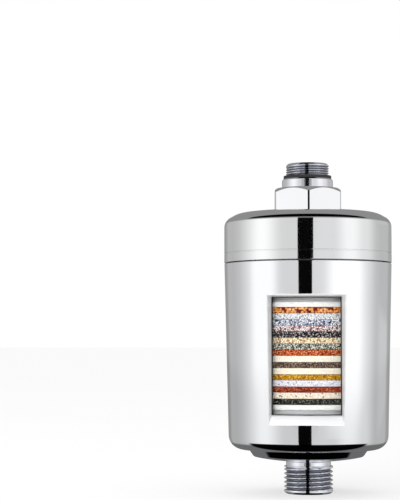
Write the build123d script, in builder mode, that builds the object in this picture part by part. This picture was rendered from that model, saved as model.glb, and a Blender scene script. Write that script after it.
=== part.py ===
from build123d import *
import math
import os

os.makedirs("parts", exist_ok=True)

# Faucet water filter. Millimetres. The axis is Z, the rim of the outlet is at Z = 0,
# the tap is above, and the sight window faces -Y.

# Clearances
running_gap = 0.05
seat_gap = 0.05
slip_gap = 0.1
seam_gap = 0.45

# Half inch pipe thread at the outlet and in the union nut, and the metric thread of the spout
pipe_thread_r = 10.478
spout_thread_r = 9.25
spout_thread_length = 5.2
spout_relief_r = 8.5
spout_relief_height = 1.3

# Outlet fitting: nipple, relief, dome and spigot
outlet_bore_r = 6.5
outlet_thread_length = 11.7
outlet_end_chamfer = 1.2
relief_r = 9.6
relief_height = 2.3
dome_root_r = 10.9
dome_rise = 2.2
dome_bulge = 0.25
dome_r = 25.6
dome_edge_round = 3.0
dome_step = 2.7
flange_thickness = 2.0
spigot_r = 22.0
funnel_rim_width = 2.0
funnel_low_z = 12.4
outlet_seal_section_r = 0.85
seal_groove_play = 0.2

# Housing: tapered shell, floor, neck for the cap, window
body_base_r = 34.06
body_flare = 1.89
base_edge_round = 6.0
base_wall = 2.46
floor_thickness = 6.0
neck_wall = 2.0
neck_height = 11.8
neck_chamfer = 0.5
sill_height = 15.5
brow_height = 14.92
window_half_angle = 27.0
sill_ledge_width = 1.2
sill_ledge_drop = 1.1
sill_splay_angle = 61.0
lintel_splay_angle = 10.0
window_edge_round = 0.4

# Clear sleeve and its seals
sleeve_wall = 1.6
sleeve_seal_thickness = 1.2
window_gasket_width = 0.3
window_gasket_depth = 0.5

# Cartridge: clear tube, perforated lids, screens, pads and the media in layers
cartridge_wall = 1.4
cartridge_seal_thickness = 1.5
cartridge_seal_width = 4.4
cartridge_seal_inset = 0.5
lid_flange = 2.0
lid_skirt_wall = 2.0
lid_plate = 2.0
lid_hole_r = 2.3
lid_hole_rings = 2
lid_hole_pitch = 9.4
bottom_lid_plug = 4.7
screen_height = 3.3
screen_show = 1.9
screen_sheet = 0.6
pad_thickness = 2.3
layer_thickness = 2.53
layer_count = 16

# Cap
cap_wall = 2.35
cap_side_height = 17.95
cap_height = 21.35
cap_bevel_width = 6.0
cap_shoulder_round = 4.6
cap_rim_chamfer = 0.3
cap_groove_height = 3.9
cap_groove_width = 0.5
cap_groove_depth = 0.35
cap_seal_thickness = 1.95
cap_seal_margin = 0.2
cap_boss_r = 12.2
cap_ledge = 1.6
cap_boss_drop = 0.25
cap_top_wall = 3.5

# Inlet tail, union nut, inlet washer with its screen
tail_r = 8.0
tail_bore_r = 5.2
tail_flange_r = 9.1
tail_flange = 1.5
tail_key_across_flats = 11.4
tail_key_depth = 4.0
tail_seal_section_r = 0.75
nut_across_flats = 28.2
nut_height = 10.1
nut_rise = 0.7
nut_lip = 2.1
nut_corner_drop = 2.2
nut_foot_drop = 0.3
nut_corner_cut = 0.5
nut_rest_turn = 3.0
nut_top_land_r = 13.4
nut_entry_chamfer = 0.6
washer_r = 9.2
washer_bore_r = 6.0
washer_thickness = 2.0
washer_step = 0.9
inlet_screen_r = 7.0
inlet_screen_thickness = 0.6

# Spout adapter and its washer
adapter_bore_r = 5.5
adapter_collar_r = 11.0
adapter_collar_height = 4.15
adapter_collar_chamfer = 0.7
adapter_end_chamfer = 0.8
spout_washer_thickness = 1.2

# Heights and radii that follow from the sizes above
dome_root_z = outlet_thread_length + relief_height
dome_edge_z = dome_root_z + dome_rise
base_z = dome_edge_z + dome_step
flange_top_z = base_z + flange_thickness
floor_z = base_z + floor_thickness
bore_r = body_base_r - base_wall
body_top_r = body_base_r + body_flare
sill_z = base_z + sill_height
media_stack = layer_count * layer_thickness
window_height = media_stack + 2 * pad_thickness + 2 * screen_show
lintel_z = sill_z + window_height
shoulder_z = lintel_z + brow_height
neck_r = bore_r + neck_wall
neck_top_z = shoulder_z + neck_height

sleeve_r = bore_r - slip_gap
sleeve_bore_r = sleeve_r - sleeve_wall
cartridge_r = sleeve_bore_r - slip_gap
cartridge_bore_r = cartridge_r - cartridge_wall
stack_r = cartridge_bore_r - slip_gap

cartridge_low_z = floor_z + cartridge_seal_thickness
cartridge_high_z = neck_top_z
bottom_plug_z = cartridge_low_z + lid_flange + bottom_lid_plug
bottom_pad_z = sill_z + screen_show
media_low_z = bottom_pad_z + pad_thickness
top_pad_z = media_low_z + media_stack
top_screen_z = top_pad_z + pad_thickness
top_plug_z = top_screen_z + screen_height

cap_bore_r = neck_r + running_gap
cap_r = cap_bore_r + cap_wall
cap_flat_r = cap_r - cap_bevel_width
cap_rim_z = shoulder_z + seam_gap
cap_seal_z = neck_top_z + seat_gap
cap_ceiling_z = cap_seal_z + cap_seal_thickness + seat_gap
cap_top_z = cap_rim_z + cap_height
tail_hole_r = tail_r + running_gap
cap_boss_z = cap_ceiling_z - cap_boss_drop
cap_ledge_z = cap_boss_z + cap_ledge
tail_low_z = cap_ledge_z + 2 * tail_seal_section_r
nut_low_z = cap_top_z + nut_rise
nut_high_z = nut_low_z + nut_height
tail_flange_z = nut_low_z + nut_lip + seat_gap
tail_high_z = tail_flange_z + tail_flange
washer_z = tail_high_z + seat_gap
adapter_low_z = washer_z + washer_thickness + seat_gap
collar_z = nut_high_z + seat_gap
collar_top_z = collar_z + adapter_collar_height
spout_washer_z = collar_top_z + seat_gap
adapter_top_z = collar_top_z + spout_relief_height + spout_thread_length


def ring_edges(shape, radius, height):
    """Round edges of one radius at one height."""
    def matches(edge):
        return abs(edge.radius - radius) < 0.01 and abs(edge.arc_center.Z - height) < 0.01
    return shape.edges().filter_by(GeomType.CIRCLE).filter_by(matches)


def sector_plane(half_angle):
    """Upright plane through the axis, turned from the front of the filter by half_angle."""
    turn = math.radians(270 - half_angle)
    return Plane(
        origin=(0, 0, 0),
        x_dir=(math.cos(turn), math.sin(turn), 0),
        z_dir=(math.sin(turn), -math.cos(turn), 0),
    )


def flat_ring(outer_r, inner_r, low_z, high_z):
    """Ring with flat faces, such as a washer, a gasket or a length of tube."""
    with BuildPart() as ring:
        with BuildSketch(Plane.XY.offset(low_z)):
            Circle(outer_r)
            Circle(inner_r, mode=Mode.SUBTRACT)
        extrude(amount=high_z - low_z)
    return ring.part


def round_seal(mean_r, section_r, mid_z):
    """Sealing ring of round section."""
    with BuildPart() as seal:
        with BuildSketch(Plane.XZ):
            with Locations((mean_r, mid_z)):
                Circle(section_r)
        revolve(axis=Axis.Z)
    return seal.part


def disc(radius, low_z, thickness):
    """Plain disc, such as a pad or one layer of media."""
    with BuildPart() as plate:
        with BuildSketch(Plane.XY.offset(low_z)):
            Circle(radius)
        extrude(amount=thickness)
    return plate.part


# Outlet fitting: a threaded nipple that opens into a domed flange, with a funnel inside
with BuildPart() as outlet_fitting:
    funnel_r = spigot_r - funnel_rim_width
    dome_mid_r = (dome_root_r + dome_r) / 2
    dome_mid_z = dome_root_z + dome_rise / 2 - dome_bulge
    with BuildSketch(Plane.XZ):
        with BuildLine():
            Polyline(
                (dome_root_r, dome_root_z),
                (relief_r, outlet_thread_length),
                (pipe_thread_r, outlet_thread_length),
                (pipe_thread_r, outlet_end_chamfer),
                (pipe_thread_r - outlet_end_chamfer, 0),
                (outlet_bore_r, 0),
                (outlet_bore_r, funnel_low_z),
                (funnel_r, floor_z),
                (spigot_r, floor_z),
                (spigot_r, flange_top_z),
                (dome_r, flange_top_z),
                (dome_r, dome_edge_z),
            )
            ThreePointArc((dome_root_r, dome_root_z), (dome_mid_r, dome_mid_z), (dome_r, dome_edge_z))
        make_face()
    revolve(axis=Axis.Z)
    fillet(ring_edges(outlet_fitting, dome_r, dome_edge_z), radius=dome_edge_round)
    seal_mid_z = (flange_top_z + floor_z) / 2
    with BuildSketch(Plane.XZ):
        with Locations((spigot_r, seal_mid_z)):
            Rectangle(
                2 * (2 * outlet_seal_section_r - slip_gap + seal_groove_play / 2),
                2 * outlet_seal_section_r + seal_groove_play,
            )
    revolve(axis=Axis.Z, mode=Mode.SUBTRACT)
outlet_fitting.part.label = "outlet_fitting"
export_step(outlet_fitting.part, "parts/outlet_fitting.step")

outlet_seal = round_seal(spigot_r + slip_gap - outlet_seal_section_r, outlet_seal_section_r, seal_mid_z)
outlet_seal.label = "outlet_seal"
export_step(outlet_seal, "parts/outlet_seal.step")

# Housing: a tapered cup with a rounded base, a threaded neck and a window with radial jambs
with BuildPart() as housing:
    with BuildSketch(Plane.XZ):
        Polygon(
            (dome_r + slip_gap, base_z),
            (body_base_r, base_z),
            (body_top_r, shoulder_z),
            (neck_r, shoulder_z),
            (neck_r, neck_top_z),
            (bore_r, neck_top_z),
            (bore_r, floor_z),
            (spigot_r + slip_gap, floor_z),
            (spigot_r + slip_gap, flange_top_z),
            (dome_r + slip_gap, flange_top_z),
            align=None,
        )
    revolve(axis=Axis.Z)
    fillet(ring_edges(housing, body_base_r, base_z), radius=base_edge_round)
    chamfer(ring_edges(housing, body_top_r, shoulder_z), length=cap_rim_chamfer)
    chamfer(ring_edges(housing, neck_r, neck_top_z), length=neck_chamfer)
    # The jambs are cut along the radius, the lintel splays outwards, and the sill falls in two steps
    splay_reach = body_top_r - bore_r + 1
    sill_drop = sill_ledge_drop + (splay_reach - sill_ledge_width) * math.tan(math.radians(sill_splay_angle))
    lintel_splay = splay_reach * math.tan(math.radians(lintel_splay_angle))
    with BuildSketch(sector_plane(window_half_angle)):
        Polygon(
            (bore_r - 1, sill_z),
            (bore_r, sill_z),
            (bore_r + sill_ledge_width, sill_z - sill_ledge_drop),
            (bore_r + splay_reach, sill_z - sill_drop),
            (bore_r + splay_reach, lintel_z + lintel_splay),
            (bore_r, lintel_z),
            (bore_r - 1, lintel_z),
            align=None,
        )
    revolve(axis=Axis.Z, revolution_arc=2 * window_half_angle, mode=Mode.SUBTRACT)
    tapered_side = housing.faces().filter_by(GeomType.CONE).sort_by(SortBy.AREA)[-1]
    fillet(tapered_side.inner_wires()[0].edges(), radius=window_edge_round)
housing.part.label = "housing"
export_step(housing.part, "parts/housing.step")

# Window gasket: a thin rubber frame that stands in the foot of the window, against the sleeve
with BuildPart() as window_gasket:
    gasket_angle = math.degrees(window_gasket_width / bore_r)
    outer_half_angle = window_half_angle - math.degrees(slip_gap / bore_r)
    with BuildSketch(sector_plane(outer_half_angle)):
        with Locations((bore_r + window_gasket_depth / 2, (sill_z + lintel_z) / 2)):
            Rectangle(window_gasket_depth, window_height - 2 * slip_gap)
    revolve(axis=Axis.Z, revolution_arc=2 * outer_half_angle)
    inner_half_angle = outer_half_angle - gasket_angle
    with BuildSketch(sector_plane(inner_half_angle)):
        with Locations((bore_r + window_gasket_depth / 2, (sill_z + lintel_z) / 2)):
            Rectangle(3 * window_gasket_depth, window_height - 2 * slip_gap - 2 * window_gasket_width)
    revolve(axis=Axis.Z, revolution_arc=2 * inner_half_angle, mode=Mode.SUBTRACT)
window_gasket.part.label = "window_gasket"
export_step(window_gasket.part, "parts/window_gasket.step")

# Clear sleeve that lines the housing, on a flat seal
sight_sleeve = flat_ring(sleeve_r, sleeve_bore_r, floor_z + sleeve_seal_thickness, neck_top_z)
sight_sleeve.label = "sight_sleeve"
export_step(sight_sleeve, "parts/sight_sleeve.step")

sleeve_seal = flat_ring(sleeve_r, sleeve_bore_r, floor_z, floor_z + sleeve_seal_thickness)
sleeve_seal.label = "sleeve_seal"
export_step(sleeve_seal, "parts/sleeve_seal.step")

# Cartridge tube between the flanges of its two lids
cartridge_tube = flat_ring(
    cartridge_r, cartridge_bore_r, cartridge_low_z + lid_flange, cartridge_high_z - lid_flange
)
cartridge_tube.label = "cartridge_tube"
export_step(cartridge_tube, "parts/cartridge_tube.step")

# Lower lid: a flange, a plug in the tube and a perforated plate
with BuildPart() as cartridge_bottom_lid:
    with BuildSketch(Plane.XZ):
        Polygon(
            (stack_r - lid_skirt_wall, cartridge_low_z),
            (cartridge_r, cartridge_low_z),
            (cartridge_r, cartridge_low_z + lid_flange),
            (stack_r, cartridge_low_z + lid_flange),
            (stack_r, bottom_plug_z),
            (0, bottom_plug_z),
            (0, bottom_plug_z - lid_plate),
            (stack_r - lid_skirt_wall, bottom_plug_z - lid_plate),
            align=None,
        )
    revolve(axis=Axis.Z)
    with BuildSketch(Plane.XY.offset(bottom_plug_z)):
        for ring in range(1, lid_hole_rings + 1):
            with PolarLocations(ring * lid_hole_pitch, 6 * ring):
                Circle(lid_hole_r)
    extrude(amount=-lid_plate, mode=Mode.SUBTRACT)
cartridge_bottom_lid.part.label = "cartridge_bottom_lid"
export_step(cartridge_bottom_lid.part, "parts/cartridge_bottom_lid.step")

# Upper lid: the same plate at the foot of a long skirt that reaches up to the cap
with BuildPart() as cartridge_top_lid:
    with BuildSketch(Plane.XZ):
        Polygon(
            (0, top_plug_z),
            (stack_r, top_plug_z),
            (stack_r, cartridge_high_z - lid_flange),
            (cartridge_r, cartridge_high_z - lid_flange),
            (cartridge_r, cartridge_high_z),
            (stack_r - lid_skirt_wall, cartridge_high_z),
            (stack_r - lid_skirt_wall, top_plug_z + lid_plate),
            (0, top_plug_z + lid_plate),
            align=None,
        )
    revolve(axis=Axis.Z)
    with BuildSketch(Plane.XY.offset(top_plug_z)):
        for ring in range(1, lid_hole_rings + 1):
            with PolarLocations(ring * lid_hole_pitch, 6 * ring):
                Circle(lid_hole_r)
    extrude(amount=lid_plate, mode=Mode.SUBTRACT)
cartridge_top_lid.part.label = "cartridge_top_lid"
export_step(cartridge_top_lid.part, "parts/cartridge_top_lid.step")

# Seals under and over the cartridge
bottom_seal_bore_r = spigot_r + slip_gap + cartridge_seal_inset
cartridge_bottom_seal = flat_ring(
    bottom_seal_bore_r + cartridge_seal_width, bottom_seal_bore_r, floor_z, cartridge_low_z
)
cartridge_bottom_seal.label = "cartridge_bottom_seal"
export_step(cartridge_bottom_seal, "parts/cartridge_bottom_seal.step")

cartridge_top_seal = flat_ring(
    cartridge_r - cap_seal_margin,
    stack_r - lid_skirt_wall,
    cartridge_high_z,
    cap_ceiling_z - seat_gap,
)
cartridge_top_seal.label = "cartridge_top_seal"
export_step(cartridge_top_seal, "parts/cartridge_top_seal.step")

# Screens: shallow cups of woven steel, with the mesh on the side of the pad
with BuildPart() as bottom_screen:
    with BuildSketch(Plane.XY.offset(bottom_plug_z)):
        Circle(stack_r)
    extrude(amount=bottom_pad_z - bottom_plug_z)
    with BuildSketch(Plane.XY.offset(bottom_plug_z)):
        Circle(stack_r - screen_sheet)
    extrude(amount=bottom_pad_z - bottom_plug_z - screen_sheet, mode=Mode.SUBTRACT)
bottom_screen.part.label = "bottom_screen"
export_step(bottom_screen.part, "parts/bottom_screen.step")

with BuildPart() as top_screen:
    with BuildSketch(Plane.XY.offset(top_screen_z)):
        Circle(stack_r)
    extrude(amount=screen_height)
    with BuildSketch(Plane.XY.offset(top_screen_z + screen_sheet)):
        Circle(stack_r - screen_sheet)
    extrude(amount=screen_height - screen_sheet, mode=Mode.SUBTRACT)
top_screen.part.label = "top_screen"
export_step(top_screen.part, "parts/top_screen.step")

# Pads of white wadding under and over the media
bottom_pad = disc(stack_r, bottom_pad_z, pad_thickness)
bottom_pad.label = "bottom_pad"
export_step(bottom_pad, "parts/bottom_pad.step")

top_pad = disc(stack_r, top_pad_z, pad_thickness)
top_pad.label = "top_pad"
export_step(top_pad, "parts/top_pad.step")

# Layers of filter media, the first one at the top
for number in range(1, layer_count + 1):
    layer = disc(stack_r, top_pad_z - number * layer_thickness, layer_thickness)
    layer.label = f"media_layer_{number:02d}"
    export_step(layer, f"parts/media_layer_{number:02d}.step")

# Cap: a bevelled top on a straight skirt, a boss for the tail and a rim that presses the seals
with BuildPart() as top_cap:
    bevel_z = cap_rim_z + cap_side_height
    pad_low_r = stack_r - lid_skirt_wall
    with BuildSketch(Plane.XZ):
        Polygon(
            (cap_bore_r, cap_rim_z),
            (cap_r, cap_rim_z),
            (cap_r, bevel_z),
            (cap_flat_r, cap_top_z),
            (tail_hole_r, cap_top_z),
            (tail_hole_r, cap_ledge_z),
            (tail_bore_r, cap_ledge_z),
            (tail_bore_r, cap_boss_z),
            (cap_boss_r, cap_boss_z),
            (cap_boss_r, cap_top_z - cap_top_wall),
            (pad_low_r, cap_top_z - cap_top_wall),
            (pad_low_r, cap_ceiling_z),
            (cap_bore_r, cap_ceiling_z),
            align=None,
        )
    revolve(axis=Axis.Z)
    fillet(ring_edges(top_cap, cap_r, bevel_z), radius=cap_shoulder_round)
    fillet(ring_edges(top_cap, cap_flat_r, cap_top_z), radius=2 * cap_shoulder_round)
    chamfer(ring_edges(top_cap, cap_r, cap_rim_z), length=cap_rim_chamfer)
    with BuildSketch(Plane.XZ):
        with Locations((cap_r, cap_rim_z + cap_groove_height)):
            Rectangle(2 * cap_groove_depth, cap_groove_width)
    revolve(axis=Axis.Z, mode=Mode.SUBTRACT)
top_cap.part.label = "top_cap"
export_step(top_cap.part, "parts/top_cap.step")

cap_seal = flat_ring(
    neck_r - cap_seal_margin, sleeve_bore_r + slip_gap, cap_seal_z, cap_seal_z + cap_seal_thickness
)
cap_seal.label = "cap_seal"
export_step(cap_seal, "parts/cap_seal.step")

# Inlet tail: screwed into the boss of the cap with a hexagon key, its flange holds the nut
with BuildPart() as inlet_tail:
    with BuildSketch(Plane.XZ):
        Polygon(
            (tail_bore_r, tail_low_z),
            (tail_r, tail_low_z),
            (tail_r, tail_flange_z),
            (tail_flange_r, tail_flange_z),
            (tail_flange_r, tail_high_z),
            (tail_bore_r, tail_high_z),
            align=None,
        )
    revolve(axis=Axis.Z)
    with BuildSketch(Plane.XY.offset(tail_high_z)):
        RegularPolygon(tail_key_across_flats / 2, 6, major_radius=False)
    extrude(amount=-tail_key_depth, mode=Mode.SUBTRACT)
inlet_tail.part.label = "inlet_tail"
export_step(inlet_tail.part, "parts/inlet_tail.step")

tail_seal = round_seal((tail_bore_r + tail_hole_r) / 2, tail_seal_section_r, (cap_ledge_z + tail_low_z) / 2)
tail_seal.label = "tail_seal"
export_step(tail_seal, "parts/tail_seal.step")

# Union nut: chamfered hexagon with a corner to the front and a lip round the tail
with BuildPart() as union_nut:
    with BuildSketch(Plane.XY.offset(nut_low_z)):
        turn_at_rest = 30 + nut_rest_turn
        hexagon = RegularPolygon(nut_across_flats / 2, 6, major_radius=False, rotation=turn_at_rest)
        chamfer(hexagon.vertices(), length=nut_corner_cut)
    extrude(amount=nut_height)
    corner_r = nut_across_flats / 2 / math.cos(math.radians(30))
    with BuildSketch(Plane.XZ):
        Polygon(
            (tail_hole_r, nut_low_z),
            (nut_top_land_r + 1, nut_low_z),
            (corner_r, nut_low_z + nut_foot_drop),
            (corner_r, nut_high_z - nut_corner_drop),
            (nut_top_land_r, nut_high_z),
            (pipe_thread_r + running_gap + nut_entry_chamfer, nut_high_z),
            (pipe_thread_r + running_gap, nut_high_z - nut_entry_chamfer),
            (pipe_thread_r + running_gap, nut_low_z + nut_lip),
            (tail_hole_r, nut_low_z + nut_lip),
            align=None,
        )
    revolve(axis=Axis.Z, mode=Mode.INTERSECT)
union_nut.part.label = "union_nut"
export_step(union_nut.part, "parts/union_nut.step")

# Inlet washer with a step that carries the screen
with BuildPart() as inlet_washer:
    step_z = washer_z + washer_step
    with BuildSketch(Plane.XZ):
        Polygon(
            (washer_bore_r, washer_z),
            (washer_r, washer_z),
            (washer_r, washer_z + washer_thickness),
            (inlet_screen_r + slip_gap, washer_z + washer_thickness),
            (inlet_screen_r + slip_gap, step_z),
            (washer_bore_r, step_z),
            align=None,
        )
    revolve(axis=Axis.Z)
inlet_washer.part.label = "inlet_washer"
export_step(inlet_washer.part, "parts/inlet_washer.step")

inlet_screen = disc(inlet_screen_r, step_z, inlet_screen_thickness)
inlet_screen.label = "inlet_screen"
export_step(inlet_screen, "parts/inlet_screen.step")

# Spout adapter: pipe thread below, round collar, spout thread above
with BuildPart() as spout_adapter:
    with BuildSketch(Plane.XZ):
        Polygon(
            (adapter_bore_r, adapter_low_z),
            (pipe_thread_r - adapter_end_chamfer, adapter_low_z),
            (pipe_thread_r, adapter_low_z + adapter_end_chamfer),
            (pipe_thread_r, collar_z),
            (adapter_collar_r, collar_z),
            (adapter_collar_r, collar_top_z),
            (spout_relief_r, collar_top_z),
            (spout_relief_r, collar_top_z + spout_relief_height),
            (spout_thread_r, collar_top_z + spout_relief_height),
            (spout_thread_r, adapter_top_z - adapter_end_chamfer),
            (spout_thread_r - adapter_end_chamfer, adapter_top_z),
            (adapter_bore_r, adapter_top_z),
            align=None,
        )
    revolve(axis=Axis.Z)
    chamfer(ring_edges(spout_adapter, adapter_collar_r, collar_top_z), length=adapter_collar_chamfer)
spout_adapter.part.label = "spout_adapter"
export_step(spout_adapter.part, "parts/spout_adapter.step")

adapter_washer = flat_ring(
    adapter_collar_r - adapter_collar_chamfer,
    spout_thread_r + running_gap,
    spout_washer_z,
    spout_washer_z + spout_washer_thickness,
)
adapter_washer.label = "adapter_washer"
export_step(adapter_washer, "parts/adapter_washer.step")
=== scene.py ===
import math

import bmesh
import bpy
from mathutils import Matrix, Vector


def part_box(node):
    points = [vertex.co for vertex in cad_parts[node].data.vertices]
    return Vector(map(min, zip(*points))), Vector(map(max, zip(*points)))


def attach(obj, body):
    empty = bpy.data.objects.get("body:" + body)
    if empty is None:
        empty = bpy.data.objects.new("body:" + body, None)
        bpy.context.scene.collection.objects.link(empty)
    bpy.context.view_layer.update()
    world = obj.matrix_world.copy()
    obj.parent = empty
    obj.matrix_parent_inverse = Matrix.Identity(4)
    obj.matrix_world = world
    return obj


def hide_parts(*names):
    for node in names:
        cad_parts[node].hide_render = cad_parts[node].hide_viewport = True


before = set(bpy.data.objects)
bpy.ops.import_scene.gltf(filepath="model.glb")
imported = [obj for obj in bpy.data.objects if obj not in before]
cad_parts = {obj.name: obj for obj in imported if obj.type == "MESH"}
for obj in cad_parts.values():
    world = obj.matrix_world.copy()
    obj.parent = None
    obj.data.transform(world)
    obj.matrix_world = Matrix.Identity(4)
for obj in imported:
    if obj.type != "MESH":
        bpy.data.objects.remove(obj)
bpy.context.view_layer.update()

# Faucet water filter. Metres in Blender, millimetres for the maker's sizes below.
# Angles round the filter are counted in degrees from its front, -Y, towards +X.
MM = 0.001
# Points round the shell and the cap, round the smaller pieces and round the pads
RING_COLUMNS, SMALL_RING_COLUMNS, PAD_COLUMNS = 240, 192, 144
# Steps of an arc: for each millimetre of rounding up to one, and for each so many degrees
ROUND_STEPS, ARC_STEP = 7, 9
SMOOTH_LIMIT = math.radians(28)


def upper(node):
    """Highest corner of a node, in millimetres."""
    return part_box(node)[1] / MM


def lower(node):
    """Lowest corner of a node, in millimetres."""
    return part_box(node)[0] / MM


# Gaps, and how far the two screens stand over the sill and the lintel
SEAM_GAP, SEAT_GAP = 0.45, 0.05
SCREEN_OVER_SILL, SCREEN_OVER_LINTEL = 1.9, 1.4

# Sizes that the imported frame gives
SHELL_LOW = lower("housing").z
NECK_TOP = upper("housing").z
CAP_RIM, CAP_TOP = lower("top_cap").z, upper("top_cap").z
CAP_R = upper("top_cap").y
SHELL_FLOOR = lower("sleeve_seal").z
SILL = upper("bottom_screen").z - SCREEN_OVER_SILL
LINTEL = upper("top_screen").z - SCREEN_OVER_LINTEL
NUT_LOW, NUT_HIGH = lower("union_nut").z, upper("union_nut").z
ADAPTER_LOW, ADAPTER_TOP = lower("spout_adapter").z, upper("spout_adapter").z
COLLAR_R = upper("spout_adapter").y
COLLAR_TOP = lower("adapter_washer").z - SEAT_GAP
STACK_R = upper("media_layer_01").y

# Housing shell
SHELL_BASE_R, SHELL_FLARE, SHELL_BORE_R = 34.06, 1.89, 31.6
SHELL_ROUND, RIM_ROUND = 6.0, 0.18
SHOULDER = CAP_RIM - SEAM_GAP
NECK_R = 33.6
DOME_SEAT_R, DOME_SEAT_TOP = 25.7, SHELL_LOW + 2.0
SPIGOT_SEAT_R = 22.1

# Window in the shell: half angle, rounded lip, and the ledge and splays of its sill and lintel
WINDOW_HALF = 27.0
WINDOW_COLUMNS, WINDOW_ROWS = 36, 24
BESIDE_WINDOW = 0.15
LIP_ROUND, SETTLING_ROUNDS = 0.4, 4
LIP_DEPTHS = (0.01, 0.05, 0.12, 0.22, 0.31, LIP_ROUND)
LEDGE_WIDTH, LEDGE_DROP = 1.2, 1.1
SILL_SPLAY, LINTEL_SPLAY = 61.0, 10.0

# Tail that holds the union nut on the cap
TAIL_HOLE_R = 8.05

# Screw threads: radius over the crests, pitch and depth, and the turn at which the outlet's starts
CAP_PITCH, CAP_THREAD_DEPTH = 3.0, 1.0
PIPE_R, PIPE_PITCH, PIPE_DEPTH, PIPE_PHASE = 10.478, 1.814, 1.162, 0.35
SPOUT_R, SPOUT_PITCH, SPOUT_DEPTH = 9.25, 1.0, 0.6


# Outlines and turned meshes

def swung(centre, arm, turn):
    """End of an arm round a centre, turned by an angle in radians."""
    cosine, sine = math.cos(turn), math.sin(turn)
    return (centre.x + arm.x * cosine - arm.y * sine, centre.y + arm.x * sine + arm.y * cosine)


def rounded(corners, beside=0.12):
    """Outline through corners (radius, height, rounding), with arcs and a short run beside each arc."""
    points = []
    for index, corner in enumerate(corners):
        here = Vector(corner[:2])
        if len(corner) < 3:
            points.append(tuple(here))
            continue
        rounding = corner[2]
        back = (Vector(corners[index - 1][:2]) - here).normalized()
        ahead = (Vector(corners[(index + 1) % len(corners)][:2]) - here).normalized()
        half = math.acos(max(-1, min(1, back.dot(ahead)))) / 2
        run = rounding / math.tan(half)
        centre = here + (back + ahead).normalized() * rounding / math.sin(half)
        first, last = here + back * run - centre, here + ahead * run - centre
        sweep = -first.angle_signed(last)
        count = max(3, round(ROUND_STEPS * min(1, rounding)) + round(abs(math.degrees(sweep)) / ARC_STEP))
        points.append(tuple(here + back * (run + beside)))
        points += [swung(centre, first, sweep * step / count) for step in range(count + 1)]
        points.append(tuple(here + ahead * (run + beside)))
    return points


def arc_through(a, b, c, steps):
    """Points on the arc from a to c through b, without its two ends."""
    (ax, ay), (bx, by), (cx, cy) = a, b, c
    aa, bb, cc = ax * ax + ay * ay, bx * bx + by * by, cx * cx + cy * cy
    twice_area = 2 * (ax * (by - cy) + bx * (cy - ay) + cx * (ay - by))
    centre = Vector((
        (aa * (by - cy) + bb * (cy - ay) + cc * (ay - by)) / twice_area,
        (aa * (cx - bx) + bb * (ax - cx) + cc * (bx - ax)) / twice_area))
    first, last = Vector(a) - centre, Vector(c) - centre
    sweep = -first.angle_signed(last)
    return [swung(centre, first, sweep * step / steps) for step in range(1, steps)]


def stepped(radius, low, high, pitch):
    """Points up a straight wall, at even steps no longer than pitch."""
    count = max(1, math.ceil(abs(high - low) / pitch))
    return [(radius, low + (high - low) * step / count) for step in range(count + 1)]


def place(radius, height, angle):
    """Point in metres at an angle in degrees round the axis, counted from the front."""
    turn = math.radians(angle)
    return (radius * math.sin(turn) * MM, -radius * math.cos(turn) * MM, height * MM)


def add_object(name, data):
    """New object with its data, linked to the scene."""
    made = bpy.data.objects.new(name, data)
    bpy.context.scene.collection.objects.link(made)
    return made


def finish_mesh(name, points, faces, materials, zones=None, limit=SMOOTH_LIMIT):
    """Object from points and faces, smooth up to a limit, with its faces turned outwards."""
    mesh = bpy.data.meshes.new(name)
    mesh.from_pydata(points, [], faces)
    for material in materials:
        mesh.materials.append(material)
    if zones:
        mesh.polygons.foreach_set("material_index", zones)
    work = bmesh.new()
    work.from_mesh(mesh)
    bmesh.ops.recalc_face_normals(work, faces=work.faces)
    work.to_mesh(mesh)
    work.free()
    mesh.shade_smooth()
    mesh.set_sharp_from_angle(angle=limit)
    return add_object(name, mesh)


def patch(row, column, rows, columns):
    """Face of a closed grid between a point and the ones above and beside it."""
    above, beside = (row + 1) % rows, (column + 1) % columns
    corners = ((row, column), (row, beside), (above, beside), (above, column))
    return tuple(up * columns + across for up, across in corners)


def turned(name, outline, materials, columns=RING_COLUMNS, zone_of=None):
    """Closed outline of (radius, height) turned round the axis."""
    points, faces, zones = [], [], []
    for radius, height in outline:
        points += [place(radius, height, 360 * column / columns) for column in range(columns)]
    for row, corner in enumerate(outline):
        zone = zone_of(corner, outline[(row + 1) % len(outline)]) if zone_of else 0
        faces += [patch(row, column, len(outline), columns) for column in range(columns)]
        zones += [zone] * columns
    return finish_mesh(name, points, faces, materials, zones)


# Shader node helpers

def srgb(red, green, blue):
    """Linear colour of a shade given as 0 to 255 on a screen."""
    return tuple(
        c / 12.92 if c <= 0.04045 else ((c + 0.055) / 1.055) ** 2.4
        for c in (red / 255, green / 255, blue / 255)
    ) + (1.0,)


def new_group(name, inputs, outputs):
    """Empty shader group with named inputs (name, kind, value) and outputs (name, kind)."""
    group = bpy.data.node_groups.new(name, "ShaderNodeTree")
    for label, kind, value in inputs:
        socket = group.interface.new_socket(name=label, in_out="INPUT", socket_type="NodeSocket" + kind)
        if value is not None:
            socket.default_value = value
    for label, kind in outputs:
        group.interface.new_socket(name=label, in_out="OUTPUT", socket_type="NodeSocket" + kind)
    start = group.nodes.new("NodeGroupInput")
    end = group.nodes.new("NodeGroupOutput")
    return group, start, end


def feed(tree, value, socket):
    """Links a socket's value from another socket, or sets it."""
    if isinstance(value, bpy.types.NodeSocket):
        tree.links.new(value, socket)
    else:
        socket.default_value = value


def fed(tree, node, **values):
    """Node with its inputs set or linked by name, where _ stands for a space."""
    for label, value in values.items():
        feed(tree, value, node.inputs[label.replace("_", " ")])
    return node


def add_node(tree, kind, **values):
    """New node of a kind, with its inputs set or linked by name."""
    return fed(tree, tree.nodes.new(kind), **values)


def math_node(tree, operation, *values):
    """Output of a Math node whose inputs are sockets or numbers."""
    node = tree.nodes.new("ShaderNodeMath")
    node.operation = operation
    for socket, value in zip(node.inputs, values):
        feed(tree, value, socket)
    return node.outputs[0]


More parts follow.
